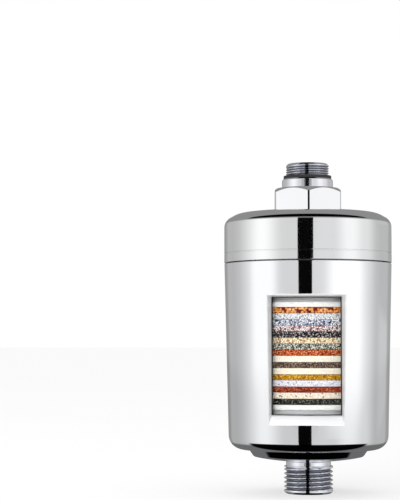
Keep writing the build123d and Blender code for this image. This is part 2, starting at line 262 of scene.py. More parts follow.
def times(tree, first, second):
    """Product of two sockets or numbers."""
    return math_node(tree, "MULTIPLY", first, second)


def plus(tree, first, second):
    """Sum of two sockets or numbers."""
    return math_node(tree, "ADD", first, second)


def minus(tree, first, second):
    """First socket or number less the second."""
    return math_node(tree, "SUBTRACT", first, second)


def per(tree, first, second):
    """First socket or number divided by the second."""
    return math_node(tree, "DIVIDE", first, second)


def size_of(tree, value):
    """Value without its sign."""
    return math_node(tree, "ABSOLUTE", value)


def hypotenuse(tree, first, second):
    """Length of the step that goes first one way and second the other."""
    return math_node(tree, "SQRT", plus(tree, times(tree, first, first), times(tree, second, second)))


def ranged(tree, value, from_low, from_high, to_low, to_high, smooth=False):
    """Output of a Map Range node; the four ends are sockets or numbers."""
    node = add_node(
        tree, "ShaderNodeMapRange", Value=value, From_Min=from_low, From_Max=from_high,
        To_Min=to_low, To_Max=to_high)
    node.interpolation_type = "SMOOTHSTEP" if smooth else "LINEAR"
    return node.outputs["Result"]


def spread_out(tree, noise, low, high):
    """Noise, most of which lies between 0.2 and 0.8, spread over a range."""
    return ranged(tree, noise, 0.2, 0.8, low, high)


def mixed_colour(tree, share, first, second):
    """Output of a colour Mix node; share and colours are sockets or values."""
    node = tree.nodes.new("ShaderNodeMix")
    node.data_type = "RGBA"
    for index, value in ((0, share), (6, first), (7, second)):
        feed(tree, value, node.inputs[index])
    return node.outputs[2]


def noise_node(tree, vector, scale, detail=3.0, roughness=0.5):
    """Factor output of a Noise Texture; scale is a socket or a number of repeats in a metre."""
    node = add_node(
        tree, "ShaderNodeTexNoise", Vector=vector, Scale=scale, Detail=detail, Roughness=roughness)
    return node.outputs["Fac"]


def put(tree, group, **values):
    """Group node in a tree, with its inputs set by name; a socket is linked."""
    node = tree.nodes.new("ShaderNodeGroup")
    node.node_tree = group
    return fed(tree, node, **values)


def start_material(name):
    """New material with its Principled node and the piece's own coordinates."""
    material = bpy.data.materials.new(name)
    material.use_nodes = True
    tree = material.node_tree
    shader = tree.nodes["Principled BSDF"]
    where = tree.nodes.new("ShaderNodeTexCoord").outputs["Object"]
    return material, tree, shader, where


def parts_of(tree, vector):
    """X, Y and Z of a vector."""
    node = tree.nodes.new("ShaderNodeSeparateXYZ")
    tree.links.new(vector, node.inputs[0])
    return node.outputs[:]


def joined(tree, *parts):
    """Vector from its parts, sockets or numbers; what isn't given is zero."""
    node = tree.nodes.new("ShaderNodeCombineXYZ")
    for socket, part in zip(node.inputs, parts):
        feed(tree, part, socket)
    return node.outputs[0]


def dress(tree, shader, colour, roughness, metallic=0.0):
    """Feeds the shader its colour and roughness, and sets how metallic it is."""
    fed(tree, shader, Base_Color=colour, Roughness=roughness, Metallic=metallic)


def bump(tree, shader, height, strength, distance):
    """Bump node that feeds the shader's normal; distance in millimetres."""
    node = add_node(tree, "ShaderNodeBump", Strength=strength, Distance=distance * MM, Height=height)
    fed(tree, shader, Normal=node.outputs["Normal"])


# Effects that several materials share

def make_round_coordinates():
    """Radius, angle and height round the filter's axis, from the piece's own coordinates."""
    group, start, end = new_group(
        "round_coordinates", [("Vector", "Vector", None)],
        [("Radius", "Float"), ("Angle", "Float"), ("Height", "Float")])
    x, y, z = parts_of(group, start.outputs["Vector"])
    angle = math_node(group, "ARCTAN2", x, times(group, y, -1.0))
    fed(group, end, Radius=hypotenuse(group, x, y), Angle=angle, Height=z)
    return group


def make_spun():
    """Coordinates squeezed round the axis, so that a noise on them runs in rings."""
    group, start, end = new_group(
        "spun", [("Vector", "Vector", None), ("Squeeze", "Float", 0.001)], [("Vector", "Vector")])
    around = put(group, ROUND_COORDINATES, Vector=start.outputs["Vector"]).outputs
    squeezed = times(group, around["Angle"], start.outputs["Squeeze"])
    fed(group, end, Vector=joined(group, around["Radius"], squeezed, around["Height"]))
    return group


def make_polish():
    """Haze, tone and waviness of plating that was polished by hand."""
    group, start, end = new_group(
        "polish",
        [("Vector", "Vector", None), ("Haze", "Float", 0.04), ("Spread", "Float", 0.03)],
        [("Roughness", "Float"), ("Tone", "Float"), ("Height", "Float")])
    vector = start.outputs["Vector"]
    cloud = noise_node(group, vector, 42.0, 4.0)
    hairs = add_node(group, "ShaderNodeMapping", Scale=(1.0, 1.0, 14.0), Vector=vector)
    lines = noise_node(group, hairs.outputs[0], 240.0, 2.0)
    haze = times(group, times(group, cloud, lines), start.outputs["Spread"])
    fed(group, end, Roughness=plus(group, haze, start.outputs["Haze"]),
        Tone=ranged(group, cloud, 0.3, 0.7, 0.0, 1.0), Height=noise_node(group, vector, 30.0, 1.0))
    return group


def make_turning_marks():
    """Fine rings left by turning or brushing round the axis."""
    group, start, end = new_group(
        "turning_marks", [("Vector", "Vector", None), ("Lines", "Float", 900.0)],
        [("Mask", "Float"), ("Streak", "Float")])
    rings = put(group, SPUN, Vector=start.outputs["Vector"], Squeeze=0.0004).outputs[0]
    lines = start.outputs["Lines"]
    fed(group, end, Mask=noise_node(group, rings, lines, 4.0, 0.7),
        Streak=noise_node(group, rings, times(group, lines, 0.16), 1.0))
    return group


def make_moulding_grain():
    """Fine even grain of moulded rubber or plastic."""
    group, start, end = new_group(
        "moulding_grain", [("Vector", "Vector", None), ("Size", "Float", 0.3)],
        [("Mask", "Float"), ("Height", "Float")])
    vector, scale = start.outputs["Vector"], per(group, 1.0 / MM, start.outputs["Size"])
    fed(group, end, Mask=noise_node(group, vector, 90.0, 3.0), Height=noise_node(group, vector, scale, 2.0))
    return group


def make_crushed_face():
    """Small broken facets and shade of a crushed mineral or a fired bead."""
    group, start, end = new_group(
        "crushed_face", [("Vector", "Vector", None), ("Size", "Float", 0.4)],
        [("Shade", "Float"), ("Height", "Float")])
    vector, scale = start.outputs["Vector"], per(group, 1.0 / MM, start.outputs["Size"])
    cells = add_node(group, "ShaderNodeTexVoronoi", Vector=vector, Scale=scale)
    fed(group, end, Shade=noise_node(group, vector, scale, 4.0, 0.65), Height=cells.outputs["Distance"])
    return group


ROUND_COORDINATES = make_round_coordinates()
SPUN = make_spun()
POLISH = make_polish()
TURNING_MARKS = make_turning_marks()
MOULDING_GRAIN = make_moulding_grain()
CRUSHED_FACE = make_crushed_face()


# Materials

def chrome(name, light, dark, haze, spread=0.03):
    """Polished chrome plating."""
    material, tree, shader, where = start_material(name)
    polish = put(tree, POLISH, Vector=where, Haze=haze, Spread=spread).outputs
    colour = mixed_colour(tree, polish["Tone"], light, dark)
    dress(tree, shader, colour, polish["Roughness"], 1.0)
    bump(tree, shader, polish["Height"], 0.1, 0.04)
    return material


def thread_chrome(name, crest_r, depth):
    """Chrome on a cut thread, greyer towards the roots as painted shade in the grooves."""
    material, tree, shader, where = start_material(name)
    polish = put(tree, POLISH, Vector=where, Haze=0.08, Spread=0.06).outputs
    radius = put(tree, ROUND_COORDINATES, Vector=where).outputs["Radius"]
    root, crest = (crest_r - 0.7 * depth) * MM, (crest_r - 0.02 * depth) * MM
    to_crest = ranged(tree, radius, root, crest, 0.0, 1.0, smooth=True)
    # Painted shade: the roots take these greys and the crests the pale chrome
    root_shade = mixed_colour(tree, polish["Tone"], srgb(132, 134, 144), srgb(158, 160, 170))
    colour = mixed_colour(tree, to_crest, root_shade, srgb(246, 247, 253))
    dress(tree, shader, colour, polish["Roughness"], 1.0)
    bump(tree, shader, polish["Height"], 0.1, 0.02)
    return material


def unpolished_shaded_plating():
    """Thin, unpolished plating on the faces that the polishing wheel does not reach, in the seam between cap
    and shell; its grey colour is partly painted shade that darkens the seam.
    """
    material, tree, shader, where = start_material("unpolished_shaded_plating")
    grain = put(tree, MOULDING_GRAIN, Vector=where, Size=0.3).outputs
    colour = mixed_colour(tree, grain["Mask"], srgb(196, 198, 204), srgb(176, 178, 184))
    dress(tree, shader, colour, spread_out(tree, grain["Height"], 0.24, 0.36), 0.9)
    bump(tree, shader, grain["Height"], 0.1, 0.02)
    return material


def satin_lip():
    """Satin plating on the lip of the window, with painted shade that greys its two sides."""
    material, tree, shader, where = start_material("satin_lip")
    grain = put(tree, MOULDING_GRAIN, Vector=where, Size=0.25).outputs
    from_front = size_of(tree, put(tree, ROUND_COORDINATES, Vector=where).outputs["Angle"])
    # Painted shade: from these angles outwards the sides of the opening take the greyer colours
    side_begins, side_ends = math.radians(WINDOW_HALF - 0.25), math.radians(WINDOW_HALF - 0.1)
    side = ranged(tree, from_front, side_begins, side_ends, 0.0, 1.0)
    pale = mixed_colour(tree, side, srgb(246, 247, 248), srgb(220, 221, 222))
    deep = mixed_colour(tree, side, srgb(240, 241, 243), srgb(212, 213, 214))
    colour = mixed_colour(tree, grain["Mask"], pale, deep)
    dress(tree, shader, colour, spread_out(tree, grain["Height"], 0.32, 0.44), 0.25)
    bump(tree, shader, grain["Height"], 0.08, 0.02)
    return material


def turned_metal(name, light, dark, roughness, lines, metallic=1.0):
    """Metal with fine turning or brushing marks round the axis."""
    material, tree, shader, where = start_material(name)
    marks = put(tree, TURNING_MARKS, Vector=where, Lines=lines).outputs
    shade = math_node(tree, "MULTIPLY_ADD", marks["Streak"], 0.6, times(tree, marks["Mask"], 0.4))
    colour = mixed_colour(tree, ranged(tree, shade, 0.3, 0.7, 0.0, 1.0), light, dark)
    dress(tree, shader, colour, spread_out(tree, marks["Mask"], roughness * 0.8, roughness * 1.25), metallic)
    bump(tree, shader, marks["Mask"], 0.25, 0.03)
    return material


def woven_wire(name, wire, shadow, pitch):
    """Fine woven wire cloth, seen on the flat side of a screen."""
    material, tree, shader, where = start_material(name)
    turn = 2 * math.pi / (pitch * MM)
    waves = [math_node(tree, "SINE", times(tree, part, turn)) for part in parts_of(tree, where)[:2]]
    wires = math_node(tree, "MAXIMUM", size_of(tree, waves[0]), size_of(tree, waves[1]))
    marks = put(tree, TURNING_MARKS, Vector=where, Lines=700.0).outputs
    shade = times(tree, ranged(tree, wires, 0.55, 1.0, 0.0, 1.0), marks["Streak"])
    colour = mixed_colour(tree, ranged(tree, shade, 0.1, 0.6, 0.0, 1.0), shadow, wire)
    dress(tree, shader, colour, spread_out(tree, marks["Mask"], 0.3, 0.5), 0.9)
    bump(tree, shader, times(tree, *waves), 0.5, 0.1)
    return material


def clear_plastic(name, tint):
    """Clear moulded tube; light for what lies behind it passes straight through."""
    material, tree, shader, where = start_material(name)
    grain = put(tree, MOULDING_GRAIN, Vector=where, Size=6.0).outputs
    fed(tree, shader, Base_Color=tint, Roughness=spread_out(tree, grain["Mask"], 0.0, 0.03),
        Transmission_Weight=1.0, IOR=1.08)
    straight = tree.nodes.new("ShaderNodeBsdfTransparent")
    rays = tree.nodes.new("ShaderNodeLightPath").outputs
    mix = tree.nodes.new("ShaderNodeMixShader")
    soft_rays = math_node(tree, "MAXIMUM", rays["Is Shadow Ray"], rays["Is Diffuse Ray"])
    for socket, source in zip(mix.inputs, (soft_rays, shader.outputs[0], straight.outputs[0])):
        tree.links.new(source, socket)
    tree.links.new(mix.outputs[0], tree.nodes["Material Output"].inputs["Surface"])
    return material


def moulded(name, pale, deep, roughness, size, height=0.02):
    """Moulded rubber or plastic with a fine grain."""
    material, tree, shader, where = start_material(name)
    grain = put(tree, MOULDING_GRAIN, Vector=where, Size=size).outputs
    colour = mixed_colour(tree, grain["Mask"], deep, pale)
    dress(tree, shader, colour, spread_out(tree, grain["Height"], roughness - 0.08, roughness + 0.08))
    bump(tree, shader, grain["Height"], 0.3, height)
    return material


def wadding():
    """White felted wadding with loose fibres."""
    material, tree, shader, where = start_material("white_wadding")
    spun = put(tree, SPUN, Vector=where, Squeeze=0.006).outputs[0]
    fibres = noise_node(tree, spun, 2600.0, 5.0, 0.7)
    lumps = noise_node(tree, where, 260.0, 2.0)
    shade = ranged(tree, fibres, 0.32, 0.62, 0.0, 1.0)
    colour = mixed_colour(tree, shade, srgb(214, 214, 211), srgb(244, 243, 240))
    dress(tree, shader, colour, spread_out(tree, fibres, 0.8, 0.95))
    fed(tree, shader, Sheen_Weight=0.2)
    bump(tree, shader, plus(tree, fibres, lumps), 0.4, 0.12)
    return material


# Tone of the core between the grains, and the lowest tone of a grain
CORE_TONE, LEAST_GRAIN_TONE = 0.02, 0.03


def media(name, gap_shade, shades, grain):
    """Loose media: each grain takes one of the shades, given as a share and a colour; the core between the
    grains takes a darker colour, painted shade in the gaps.
    """
    material, tree, shader, where = start_material(name)
    tone = tree.nodes.new("ShaderNodeAttribute")
    tone.attribute_name = "grain_tone"
    ramp = tree.nodes.new("ShaderNodeValToRGB")
    ramp.color_ramp.interpolation = "CONSTANT"
    stops = ramp.color_ramp.elements
    # The core between the grains takes the darker gap colour: painted shade in the gaps
    stops[0].position, stops[0].color = 0.0, srgb(*gap_shade)
    stops[1].position, stops[1].color = CORE_TONE, srgb(*shades[0][1:])
    reached = CORE_TONE
    for (share, *_), (_, *following) in zip(shades, shades[1:]):
        reached += share * (1 - CORE_TONE)
        stops.new(reached).color = srgb(*following)
    tree.links.new(tone.outputs["Fac"], ramp.inputs["Fac"])
    crushed = put(tree, CRUSHED_FACE, Vector=where, Size=grain).outputs
    colour = tree.nodes.new("ShaderNodeMix")
    colour.data_type = "RGBA"
    colour.blend_type = "MULTIPLY"
    colour.inputs[0].default_value = 1.0
    tree.links.new(ramp.outputs["Color"], colour.inputs[6])
    tree.links.new(ranged(tree, crushed["Shade"], 0.3, 0.7, 0.78, 1.1), colour.inputs[7])
    dress(tree, shader, colour.outputs[2], spread_out(tree, crushed["Shade"], 0.45, 0.65))
    fed(tree, shader, Specular_IOR_Level=0.1)
    bump(tree, shader, crushed["Height"], 0.25, 0.08)
    return material


CHROME_SHELL = chrome("chrome_shell", srgb(249, 250, 251), srgb(246, 247, 249), 0.035)
CHROME_CAP = chrome("chrome_cap", srgb(249, 250, 250), srgb(246, 247, 248), 0.035)
CHROME_FITTINGS = chrome("chrome_fittings", srgb(247, 248, 252), srgb(240, 242, 248), 0.06, 0.05)
CHROME_NUT = chrome("chrome_nut", srgb(250, 250, 252), srgb(246, 247, 249), 0.045, 0.04)
SATIN_LIP = satin_lip()
UNPOLISHED_SHADED_PLATING = unpolished_shaded_plating()
PIPE_THREAD = thread_chrome("pipe_thread_chrome", PIPE_R, PIPE_DEPTH)
SPOUT_THREAD = thread_chrome("spout_thread_chrome", SPOUT_R, SPOUT_DEPTH)
NECK_THREAD = thread_chrome("neck_thread_chrome", NECK_R, CAP_THREAD_DEPTH)
PLAIN_BRASS = turned_metal("plain_brass", srgb(226, 200, 140), srgb(196, 164, 98), 0.28, 1500.0)
BRUSHED_RING = turned_metal("brushed_ring", srgb(220, 222, 223), srgb(134, 136, 138), 0.46, 1400.0, 0.35)
STEEL_MESH = woven_wire("steel_mesh", srgb(190, 190, 188), srgb(52, 52, 52), 0.5)
CLEAR_SLEEVE = clear_plastic("clear_sleeve", (1.0, 1.0, 1.0, 1.0))
CLEAR_TUBE = clear_plastic("clear_tube", (0.995, 1.0, 1.0, 1.0))
BLACK_RUBBER = moulded("black_rubber", srgb(46, 46, 47), srgb(27, 27, 28), 0.62, 0.25)
WHITE_RUBBER = moulded("white_rubber", srgb(236, 235, 231), srgb(224, 223, 218), 0.6, 0.3)
WHITE_PLASTIC = moulded("white_plastic", srgb(243, 243, 241), srgb(232, 232, 229), 0.38, 0.5, 0.01)
WHITE_WADDING = wadding()


# Screw threads, cut into a plain wall by one tree of Geometry Nodes

def new_tree(name, inputs):
    """Geometry Nodes tree with a geometry output and named inputs (name, kind, value)."""
    tree = bpy.data.node_groups.new(name, "GeometryNodeTree")
    tree.interface.new_socket(name="Geometry", in_out="INPUT", socket_type="NodeSocketGeometry")
    for label, kind, value in inputs:
        socket = tree.interface.new_socket(name=label, in_out="INPUT", socket_type="NodeSocket" + kind)
        if value is not None:
            socket.default_value = value
    tree.interface.new_socket(name="Geometry", in_out="OUTPUT", socket_type="NodeSocketGeometry")
    return tree, tree.nodes.new("NodeGroupInput"), tree.nodes.new("NodeGroupOutput")


# Profile: half turns from the crest at which the groove begins and at which its root is reached, how
# full its curve is, and how near the crest's radius a point of the wall has to be
CREST_FLAT, ROOT_FLAT, FULLNESS, NEAR_WALL = 0.16, 0.88, 1.15, 0.02


def make_cut_thread():
    """Moves the points of a plain round wall inwards along a right-hand helix of rounded grooves."""
    tree, start, end = new_tree("cut_thread", [
        ("Crest Radius", "Float", 0.01), ("Depth", "Float", 0.001), ("Pitch", "Float", 0.002),
        ("Low", "Float", 0.0), ("High", "Float", 0.01), ("Phase", "Float", 0.0),
        ("Finish", "Material", None)])
    given = start.outputs
    x, y, z = parts_of(tree, tree.nodes.new("GeometryNodeInputPosition").outputs[0])
    radius = hypotenuse(tree, x, y)

    # Place across one turn of the thread, and from it the depth of the groove
    turns_round = per(tree, math_node(tree, "ARCTAN2", y, x), 2 * math.pi)
    turns_up = per(tree, z, given["Pitch"])
    along = math_node(tree, "FRACT", plus(tree, minus(tree, turns_up, turns_round), given["Phase"]))
    from_crest = size_of(tree, math_node(tree, "MULTIPLY_ADD", along, 2.0, -1.0))
    flank = ranged(tree, from_crest, CREST_FLAT, ROOT_FLAT, 0.0, 1.0)
    rounded_root = minus(tree, 1.0, math_node(tree, "POWER", minus(tree, 1.0, flank), FULLNESS))

    # The thread runs out over half a turn at both ends
    half_pitch = times(tree, given["Pitch"], 0.5)
    first_full = plus(tree, given["Low"], half_pitch)
    last_full = minus(tree, given["High"], half_pitch)
    rises = ranged(tree, z, given["Low"], first_full, 0.0, 1.0, smooth=True)
    falls = ranged(tree, z, last_full, given["High"], 1.0, 0.0, smooth=True)
    inwards = times(tree, times(tree, rises, falls), times(tree, rounded_root, given["Depth"]))
    share = per(tree, times(tree, inwards, -1.0), radius)
    offset = joined(tree, times(tree, x, share), times(tree, y, share))

    # Only the wall at the crest's radius, between both ends, is cut and dressed
    off_crest = size_of(tree, minus(tree, radius, given["Crest Radius"]))
    on_wall = math_node(tree, "LESS_THAN", off_crest, NEAR_WALL * MM)
    over_low = math_node(tree, "GREATER_THAN", z, given["Low"])
    under_high = math_node(tree, "LESS_THAN", z, given["High"])
    zone = times(tree, on_wall, times(tree, over_low, under_high))
    dressed = add_node(
        tree, "GeometryNodeSetMaterial", Geometry=given["Geometry"], Selection=zone, Material=given["Finish"])
    moved = add_node(
        tree, "GeometryNodeSetPosition", Geometry=dressed.outputs[0], Selection=zone, Offset=offset)
    real = add_node(tree, "GeometryNodeRealizeInstances", Geometry=moved.outputs[0])
    tree.links.new(real.outputs[0], end.inputs[0])
    return tree


def apply_tree(piece, tree, values):
    """Runs a tree on a piece with its named inputs, and keeps the result as a plain mesh."""
    modifier = piece.modifiers.new(tree.name, "NODES")
    modifier.node_group = tree
    for item in tree.interface.items_tree:
        if item.in_out == "INPUT" and item.name in values:
            modifier[item.identifier] = values[item.name]
    piece.update_tag()
    seen = piece.evaluated_get(bpy.context.evaluated_depsgraph_get())
    mesh = bpy.data.meshes.new_from_object(seen)
    piece.modifiers.remove(modifier)
    mesh.name = piece.name
    piece.data = mesh


def cut_thread(piece, crest_r, depth, pitch, low, high, finish, phase=0.0):
    """Cuts one thread into a piece and shades it smooth up to the limit."""
    apply_tree(piece, CUT_THREAD, {
        "Crest Radius": crest_r * MM, "Depth": depth * MM, "Pitch": pitch * MM,
        "Low": low * MM, "High": high * MM, "Phase": phase, "Finish": finish})
    piece.data.shade_smooth()
    piece.data.set_sharp_from_angle(angle=SMOOTH_LIMIT)


CUT_THREAD = make_cut_thread()


# Housing: tapered shell with its window, its lip and the threaded neck

def shell_r(height):
    """Outer radius of the tapered shell at a height."""
    return SHELL_BASE_R + SHELL_FLARE * (height - SHELL_LOW) / (SHOULDER - SHELL_LOW)


def lip_offset(depth, turn):
    """How far the rounded lip stands back from the edge of the opening at a depth under the surface."""
    turn = math.radians(turn)
    if depth <= LIP_ROUND * (1 - math.cos(turn)):
        return LIP_ROUND * math.tan(turn / 2) - LIP_ROUND * math.sin(math.acos(1 - depth / LIP_ROUND))
    return -depth / math.tan(turn)


def sill_height(radius):
    """Height of the sill, which falls in two steps from the bore outwards."""
    out = radius - SHELL_BORE_R
    if out <= LEDGE_WIDTH:
        return SILL - LEDGE_DROP * out / LEDGE_WIDTH
    return SILL - LEDGE_DROP - (out - LEDGE_WIDTH) * math.tan(math.radians(SILL_SPLAY))


def lintel_height(radius):
    """Height of the lintel, which rises a little outwards."""
    return LINTEL + (radius - SHELL_BORE_R) * math.tan(math.radians(LINTEL_SPLAY))


def lip_radius(height, level):
    """Radius on the lip: level up to 0 is a depth on its rounded edge, above 0 a share of the way in."""
    outer = shell_r(height)
    if level <= 0:
        return outer + level
    return outer - LIP_ROUND - level * (outer - LIP_ROUND - SHELL_BORE_R)


def lip_frame(level):
    """Half angle, lowest and highest height of the opening at one level of the lip."""
    low, high = SILL, LINTEL
    for _ in range(SETTLING_ROUNDS):
        low = sill_height(lip_radius(low, level) if level > 0 else shell_r(low))
        high = lintel_height(lip_radius(high, level) if level > 0 else shell_r(high))
    if level > 0:
        return WINDOW_HALF, low, high
    return (
        WINDOW_HALF + math.degrees(lip_offset(-level, 90) / SHELL_BASE_R),
        low - lip_offset(-level, 90 - SILL_SPLAY),
        high + lip_offset(-level, 90 - LINTEL_SPLAY),
    )


def ring_angles(half):
    """Angles of the columns: the window's own columns first, then the way round the back."""
    front = [half * (2 * i / WINDOW_COLUMNS - 1) for i in range(WINDOW_COLUMNS + 1)]
    others = RING_COLUMNS - WINDOW_COLUMNS - 2
    back = [half + (360 - 2 * half) * i / others for i in range(1, others)]
    return front + [half + BESIDE_WINDOW] + back + [360 - half - BESIDE_WINDOW]


def round_window(place_of):
    """Loop round the window: sill, right jamb, lintel, left jamb; place_of takes a column and a row."""
    loop = [place_of(i, 0) for i in range(WINDOW_COLUMNS + 1)]
    loop += [place_of(WINDOW_COLUMNS, j) for j in range(1, WINDOW_ROWS)]
    loop += [place_of(i, WINDOW_ROWS) for i in range(WINDOW_COLUMNS, -1, -1)]
    loop += [place_of(0, j) for j in range(WINDOW_ROWS - 1, 0, -1)]
    return loop


def shell_section(low, high, neck_low, neck_high):
    """Outline of the shell, and the rows where the window begins on its outside and on its inside."""
    root_r = NECK_R - CAP_THREAD_DEPTH
    below, above = low - BESIDE_WINDOW, high + BESIDE_WINDOW
    rows = rounded([(DOME_SEAT_R, SHELL_LOW), (SHELL_BASE_R, SHELL_LOW, SHELL_ROUND),
                    (shell_r(below), below), (shell_r(low), low)])
    outer_first = len(rows) - 1
    heights = [low + (high - low) * j / WINDOW_ROWS for j in range(1, WINDOW_ROWS)]
    rows += [(shell_r(z), z) for z in heights]
    rows += rounded([
        (shell_r(high), high), (shell_r(above), above), (shell_r(SHOULDER), SHOULDER, RIM_ROUND),
        (root_r, SHOULDER, 0.3), (root_r, neck_low - 0.5), (NECK_R, neck_low)])
    rows += stepped(NECK_R, neck_low, neck_high, 0.22)[1:]
    rows += rounded([
        (NECK_R, neck_high), (NECK_R, NECK_TOP, 0.5), (SHELL_BORE_R, NECK_TOP, 0.15),
        (SHELL_BORE_R, LINTEL)])[1:]
    inner_first = len(rows) - 1
    rows += [(SHELL_BORE_R, LINTEL + (SILL - LINTEL) * j / WINDOW_ROWS) for j in range(1, WINDOW_ROWS + 1)]
    rows += [(SHELL_BORE_R, SHELL_FLOOR), (SPIGOT_SEAT_R, SHELL_FLOOR),
             (SPIGOT_SEAT_R, DOME_SEAT_TOP), (DOME_SEAT_R, DOME_SEAT_TOP)]
    return rows, outer_first, inner_first


def housing():
    """Shell as rows round its section, with an open field for the window and a lip that closes it."""
    polished, lip, dull_shaded = 0, 1, 2
    outer_half, low, high = lip_frame(0.0)
    neck_low, neck_high = SHOULDER + 0.9, NECK_TOP - 0.8
    rows, outer_first, inner_first = shell_section(low, high, neck_low, neck_high)
    outer_angles, inner_angles = ring_angles(outer_half), ring_angles(WINDOW_HALF)
    points, faces, zones = [], [], []
    for index, (radius, height) in enumerate(rows):
        angles = inner_angles if index >= inner_first else outer_angles
        points += [place(radius, height, angle) for angle in angles]
    for row, (radius, height) in enumerate(rows):
        window_row = any(first <= row < first + WINDOW_ROWS for first in (outer_first, inner_first))
        # Faces behind the rim, in the seam under the cap, take the plating greyed as painted shade
        behind_rim = radius < shell_r(SHOULDER) - 0.25 and height >= SHOULDER
        for column in range(WINDOW_COLUMNS if window_row else 0, RING_COLUMNS):
            faces.append(patch(row, column, len(rows), RING_COLUMNS))
            zones.append(dull_shaded if behind_rim else polished)

    def lip_point(level):
        half, sill, lintel = lip_frame(level)

        def add(i, j):
            height = sill + (lintel - sill) * j / WINDOW_ROWS
            angle = half * (2 * i / WINDOW_COLUMNS - 1)
            points.append(place(lip_radius(height, level), height, angle))
            return len(points) - 1
        return add

    wall = shell_r(low) - SHELL_BORE_R - LIP_ROUND
    ledge_share = (wall - LEDGE_WIDTH) / wall
    levels = [-depth for depth in LIP_DEPTHS] + [ledge_share / 2, ledge_share, (1 + ledge_share) / 2]
    loops = [round_window(lambda i, j: (outer_first + j) * RING_COLUMNS + i)]
    loops += [round_window(lip_point(level)) for level in levels]
    loops.append(round_window(lambda i, j: (inner_first + WINDOW_ROWS - j) * RING_COLUMNS + i))
    for outside, inside in zip(loops, loops[1:]):
        for index in range(len(outside)):
            beside = (index + 1) % len(outside)
            faces.append((outside[index], outside[beside], inside[beside], inside[index]))
            zones.append(lip)
    finishes = [CHROME_SHELL, SATIN_LIP, UNPOLISHED_SHADED_PLATING]
    piece = finish_mesh("shell_with_window", points, faces, finishes, zones)
    cut_thread(piece, NECK_R, CAP_THREAD_DEPTH, CAP_PITCH, neck_low - 0.01, neck_high, NECK_THREAD)
    return piece


# Cap, outlet fitting and spout adapter: turned pieces

def cap():
    """Screw cap: bevelled top with soft shoulders, a groove round its rim and a boss inside."""
    bevel, bevel_round, flat_r, flat_round = CAP_RIM + 17.95, 4.6, CAP_R - 6.0, 9.2
    groove_r, groove_low, groove_high = CAP_R - 0.35, CAP_RIM + 3.65, CAP_RIM + 4.15
    bore_r, ceiling = 33.65, NECK_TOP + 2.05
    inner_r, under_top = 26.3, CAP_TOP - 3.5
    boss_r, boss = 12.2, ceiling - 0.25
    ledge_r, ledge = 5.2, boss + 1.6
    outline = rounded([
        (bore_r, CAP_RIM, 0.1), (CAP_R, CAP_RIM, RIM_ROUND),
        (CAP_R, groove_low, 0.06), (groove_r, groove_low, 0.05),
        (groove_r, groove_high, 0.05), (CAP_R, groove_high, 0.06),
        (CAP_R, bevel, bevel_round), (flat_r, CAP_TOP, flat_round),
        (TAIL_HOLE_R, CAP_TOP, 0.3), (TAIL_HOLE_R, ledge), (ledge_r, ledge), (ledge_r, boss),
        (boss_r, boss), (boss_r, under_top), (inner_r, under_top), (inner_r, ceiling), (bore_r, ceiling)],
        beside=0.05)

    def zone_of(first, second):
        # Faces inside the cap, in the seam over the shell, take the plating greyed as painted shade
        behind_rim = max(first[0], second[0]) < groove_r - 0.1
        return int(behind_rim and max(first[1], second[1]) <= ceiling)
    return turned("screw_cap", outline, [CHROME_CAP, UNPOLISHED_SHADED_PLATING], zone_of=zone_of)


def outlet():
    """Outlet fitting: threaded nipple, relief, dome and funnel."""
    bore_r, relief_r, edge_r, spigot_r, funnel_r = 6.5, 9.6, 25.6, 22.0, 20.0
    thread_low, thread_top, funnel_low = 1.2, 11.7, 12.4
    dome_root, dome_middle, dome_edge = (10.9, 14.0), (18.25, 14.85), (edge_r, 16.2)
    dome_rim = (23.5, 15.8, 1.6)
    groove_r, groove_low, groove_high = 20.3, DOME_SEAT_TOP + 1.05, DOME_SEAT_TOP + 2.95
    outline = rounded([
        (bore_r, 0, 0.2), (PIPE_R - 1.0, 0, 0.35), (PIPE_R, 0.95), (PIPE_R, thread_low)])
    outline += stepped(PIPE_R, thread_low, thread_top, 0.15)[1:]
    outline += rounded([
        (PIPE_R, thread_top), (relief_r, thread_top + 0.3, 0.1), (relief_r, dome_root[1] - 0.1, 0.5),
        dome_root], beside=0.04)[1:-1]
    dome = [dome_root] + arc_through(dome_root, dome_middle, dome_edge, 14)[:-3]
    outline += dome
    outline += rounded([
        dome[-1], dome_rim, (edge_r, SHELL_LOW - 0.1, 0.3), (edge_r, DOME_SEAT_TOP, 0.1),
        (spigot_r, DOME_SEAT_TOP), (spigot_r, groove_low), (groove_r, groove_low),
        (groove_r, groove_high), (spigot_r, groove_high), (spigot_r, SHELL_FLOOR, 0.2),
        (funnel_r, SHELL_FLOOR, 0.2), (bore_r, funnel_low), (bore_r, 0)], beside=0.05)[1:-1]
    piece = turned("outlet_nipple_and_dome", outline, [CHROME_FITTINGS], SMALL_RING_COLUMNS)
    cut_thread(piece, PIPE_R, PIPE_DEPTH, PIPE_PITCH, thread_low, thread_top - 0.05, PIPE_THREAD, PIPE_PHASE)
    return piece


